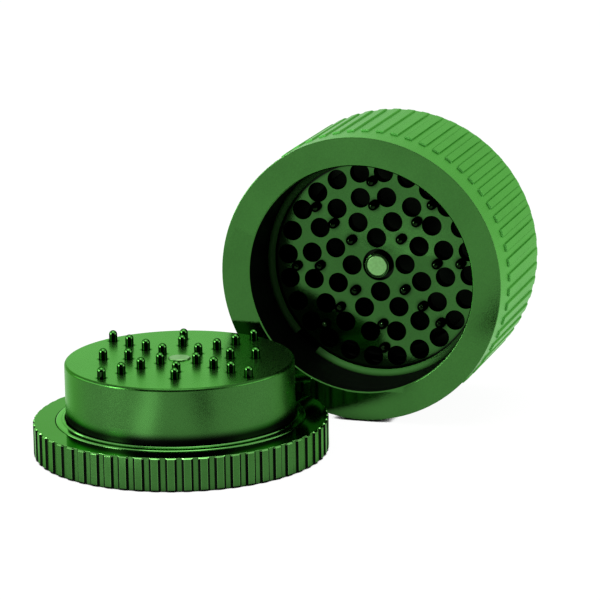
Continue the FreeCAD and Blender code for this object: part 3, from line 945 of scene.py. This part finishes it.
class GRINDER_OT_fasteners(bpy.types.Operator):
    """Finish the screw, the dowels and the seal inside the grinder"""
    bl_idname = "grinder.fasteners"
    bl_label = "Screw, dowels and seal"

    def execute(self, context):
        # Bright grey metal beside the green
        steel = ground_steel("Ground stainless steel", linear("#b9bdbb"))
        for name in ("rotor_screw", "drive_dowels", "plate_dowels"):
            finish_node(name, steel)
        # A dull black ring
        finish_node("base_seal", moulded_rubber("Moulded black nitrile rubber", linear("#1b1c1b")))
        return {"FINISHED"}


# Studio helpers


def seen_directly(tree):
    """1 for what the camera sees, also by way of metal or glass, and 0 for the light on the object."""
    path = node(tree, "ShaderNodeLightPath")
    seen = node(tree, "ShaderNodeMath", settings={"operation": "MAXIMUM"},
                links={0: path.outputs["Is Camera Ray"], 1: path.outputs["Is Glossy Ray"]})
    shown = node(tree, "ShaderNodeMath", settings={"operation": "MAXIMUM"},
                 links={0: seen.outputs[0], 1: path.outputs["Is Transmission Ray"]})
    return shown.outputs[0]


def white_table():
    """White paint that glows for the camera and in mirrors. A shadow is painted into the glow where the
    object touches it, and in mirrors a wider shadow is painted round the object.
    """
    contact_reach, mirror_reach = 1.5, 30.0
    material, tree = new_material("White table")
    near = node(tree, "ShaderNodeAmbientOcclusion", settings=SHADE_RAYS,
                values={"Distance": contact_reach * MM})
    contact = node(tree, "ShaderNodeMapRange", values={"From Min": 0.38, "From Max": 0.5},
                   links={"Value": near.outputs["AO"]})
    wide = node(tree, "ShaderNodeAmbientOcclusion", settings=SHADE_RAYS,
                values={"Distance": mirror_reach * MM})
    mirrored = node(tree, "ShaderNodeMapRange", values={"From Min": 0.3, "From Max": 0.8},
                    links={"Value": wide.outputs["AO"]})
    direct = node(tree, "ShaderNodeLightPath").outputs["Is Camera Ray"]
    lit = node(tree, "ShaderNodeMix", links={"Factor": direct, "A": mirrored.outputs["Result"],
                                             "B": contact.outputs["Result"]})
    bright = node(tree, "ShaderNodeMath", settings=MULTIPLY, values={1: 1.06},
                  links={0: lit.outputs["Result"]})
    part = node(tree, "ShaderNodeMath", settings=MULTIPLY, values={1: 0.9}, links={0: seen_directly(tree)})
    coat = node(tree, "ShaderNodeBsdfDiffuse", values={"Color": (0.9, 0.9, 0.9, 1)})
    glow = node(tree, "ShaderNodeEmission", values={"Color": WHITE}, links={"Strength": bright.outputs[0]})
    mix = node(tree, "ShaderNodeMixShader",
               links={0: part.outputs[0], 1: coat.outputs[0], 2: glow.outputs[0]})
    node(tree, "ShaderNodeOutputMaterial", links={"Surface": mix.outputs[0]})
    return material


def black_cloth():
    """Black cloth that gives metal something dark to mirror."""
    material, tree = new_material("Black cloth")
    black = node(tree, "ShaderNodeBsdfDiffuse", values={"Color": (0.01, 0.01, 0.01, 1)})
    node(tree, "ShaderNodeOutputMaterial", links={"Surface": black.outputs[0]})
    return material


def pale_card():
    """A pale card that shines towards the mouth and can't be seen from behind."""
    material, tree = new_material("Pale card")
    front = node(tree, "ShaderNodeEmission", values={"Color": WHITE, "Strength": 0.96})
    back = node(tree, "ShaderNodeBsdfTransparent")
    side = node(tree, "ShaderNodeNewGeometry").outputs["Backfacing"]
    mix = node(tree, "ShaderNodeMixShader", links={0: side, 1: front.outputs[0], 2: back.outputs[0]})
    node(tree, "ShaderNodeOutputMaterial", links={"Surface": mix.outputs[0]})
    return material


def set_up_plane(name, size, place, turns, material, scale=(1, 1, 1)):
    """A flat piece of the studio, turned by angles in degrees."""
    bpy.ops.object.select_all(action="DESELECT")
    angles = [math.radians(turn) for turn in turns]
    bpy.ops.mesh.primitive_plane_add(size=size, location=place, rotation=angles)
    plane = bpy.context.active_object
    plane.name = name
    plane.scale = scale
    plane.data.materials.append(material)
    return plane


def set_up_lamp(name, kind, place, watts):
    """A lamp of the studio at its place."""
    lamp = bpy.data.lights.new(name, kind)
    lamp.energy = watts
    held = bpy.data.objects.new(name, lamp)
    bpy.context.scene.collection.objects.link(held)
    held.location = place
    return held


def set_up_panel(name, place, width, height, watts):
    """A rectangular lamp of the studio at its place."""
    held = set_up_lamp(name, "AREA", place, watts)
    held.data.shape = "RECTANGLE"
    held.data.size = width
    held.data.size_y = height
    return held


def aim_at(held, target):
    """Turn a lamp towards a point."""
    held.rotation_euler = (Vector(target) - held.location).to_track_quat("-Z", "Y").to_euler()


class GRINDER_OT_stage(bpy.types.Operator):
    """Set up the floor, the lights, the world and the camera"""
    bl_idname = "grinder.stage"
    bl_label = "Studio"

    def execute(self, context):
        scene = context.scene
        scene.view_settings.view_transform = "Standard"
        self.set_up_camera(scene)
        self.set_up_world(scene)
        cloth = black_cloth()
        set_up_plane("White table", 6.0, (0, 0, 0), (0, 0, 0), white_table())
        set_up_plane("Dark room behind the camera", 4.0, (0, -0.95, -0.75), (90, 0, 0), cloth)
        self.set_up_lamps()
        self.set_up_cards(cloth)
        return {"FINISHED"}

    @staticmethod
    def set_up_camera(scene):
        """Stand the camera where the studio's settings say."""
        studio = scene.grinder_studio
        place = Vector(studio.camera_place)
        forward = (Vector(studio.camera_aim) - place).normalized()
        right = forward.cross(Vector((0, 0, 1))).normalized()
        up = right.cross(forward)
        roll = studio.camera_roll
        turned_right = right * math.cos(roll) + up * math.sin(roll)
        turned_up = up * math.cos(roll) - right * math.sin(roll)
        data = bpy.data.cameras.new("Camera")
        data.lens = studio.lens
        data.sensor_width = 36.0
        data.clip_start = 0.05
        data.clip_end = 20.0
        camera = bpy.data.objects.new("Camera", data)
        scene.collection.objects.link(camera)
        axes = Matrix((turned_right, turned_up, -forward)).transposed().to_4x4()
        camera.matrix_world = Matrix.Translation(place) @ axes
        scene.camera = camera

    @staticmethod
    def set_up_world(scene):
        """Surround the object with soft grey light that looks white."""
        world = bpy.data.worlds.new("Studio")
        scene.world = world
        world.use_nodes = True
        tree = world.node_tree
        tree.nodes.clear()
        strength = node(tree, "ShaderNodeMapRange", values={"To Min": 0.6, "To Max": 1.0},
                        links={"Value": seen_directly(tree)})
        background = node(tree, "ShaderNodeBackground", values={"Color": WHITE},
                          links={"Strength": strength.outputs["Result"]})
        node(tree, "ShaderNodeOutputWorld", links={"Surface": background.outputs["Background"]})

    @staticmethod
    def set_up_lamps():
        """Light the object from above, the front and both sides, and pick out the foot of the snap ring."""
        object_middle = (-0.01, -0.01, 0.015)
        ring_foot = (0.0165, 0.0265, 0.0085)
        lamps = {
            "Overhead softbox": ((0.0, -0.12, 0.9), 0.6, 0.6, 2.6),
            "Tall strip light": ((-0.67, -0.606, 0.22), 0.25, 0.5, 7.0),
            "Left softbox": ((-0.9, -0.15, 0.2), 0.8, 0.4, 3.0),
            "Right softbox": ((0.9, 0.12, 0.2), 0.8, 0.4, 3.0),
        }
        for name, (place, width, height, watts) in lamps.items():
            aim_at(set_up_panel(name, place, width, height, watts), object_middle)
        card = set_up_panel("Silver card on the table", (-0.0245, -0.097, 0.0002), 0.018, 0.055, 0.006)
        card.rotation_euler = [math.radians(turn) for turn in (180, 0, 12.5)]
        card.visible_camera = False
        snooted = set_up_lamp("Snooted lamp", "SPOT", (0.035, -0.06, 0.10), 1.6)
        snooted.data.spot_size = math.radians(14)
        snooted.data.spot_blend = 0.6
        snooted.data.shadow_soft_size = 0.004
        aim_at(snooted, ring_foot)

    @staticmethod
    def set_up_cards(cloth):
        """Stand cards that only metal sees, so that the rim and the plate mirror bright and dark areas."""
        pale = pale_card()
        cards = {
            "Black card on the table": ((0.03275, -0.082, 0.002), (0, 0, 0), 0.0225, 0.036, cloth),
            "Pale card before the mouth": ((-0.0001, 0.009, 0.0259), (-90, 25.5, 0), 0.0385, 0.016, pale),
            "Pale card beside the lid": ((0.0175, 0.009, 0.018), (-90, 0, 0), 0.013, 0.024, pale),
            "Pale card left of the mouth": ((-0.0167, 0.009, 0.027), (-90, 0, 0), 0.0154, 0.014, pale),
        }
        for name, (place, turns, width, height, finish) in cards.items():
            card = set_up_plane(name, 1.0, place, turns, finish, (width, height, 1))
            card.visible_camera = False
            card.visible_shadow = False
            card.visible_diffuse = False


class GRINDER_PT_panel(bpy.types.Panel):
    """Lists the steps that model and finish the grinder"""
    bl_label = "Herb grinder"
    bl_space_type = "VIEW_3D"
    bl_region_type = "UI"
    bl_category = "Grinder"

    def draw(self, context):
        for operator in OPERATORS:
            self.layout.operator(operator.bl_idname)


GROUPS = {"grinder_sizes": GrinderSizes, "grinder_colours": GrinderColours, "grinder_studio": GrinderStudio}
OPERATORS = (
    GRINDER_OT_body, GRINDER_OT_plate, GRINDER_OT_pins, GRINDER_OT_post, GRINDER_OT_lid, GRINDER_OT_drum,
    GRINDER_OT_glide, GRINDER_OT_base, GRINDER_OT_fasteners, GRINDER_OT_stage,
)
CLASSES = tuple(GROUPS.values()) + OPERATORS + (GRINDER_PT_panel,)


def register():
    for made in CLASSES:
        bpy.utils.register_class(made)
    for name, group in GROUPS.items():
        setattr(bpy.types.Scene, name, bpy.props.PointerProperty(type=group))


def unregister():
    for name in GROUPS:
        delattr(bpy.types.Scene, name)
    for made in reversed(CLASSES):
        bpy.utils.unregister_class(made)


def main():
    register()
    bpy.ops.grinder.body()
    bpy.ops.grinder.plate()
    bpy.ops.grinder.pins()
    bpy.ops.grinder.post()
    bpy.ops.grinder.lid()
    bpy.ops.grinder.drum()
    bpy.ops.grinder.glide()
    bpy.ops.grinder.base()
    bpy.ops.grinder.fasteners()
    bpy.ops.grinder.stage()


if __name__ == "__main__":
    main()
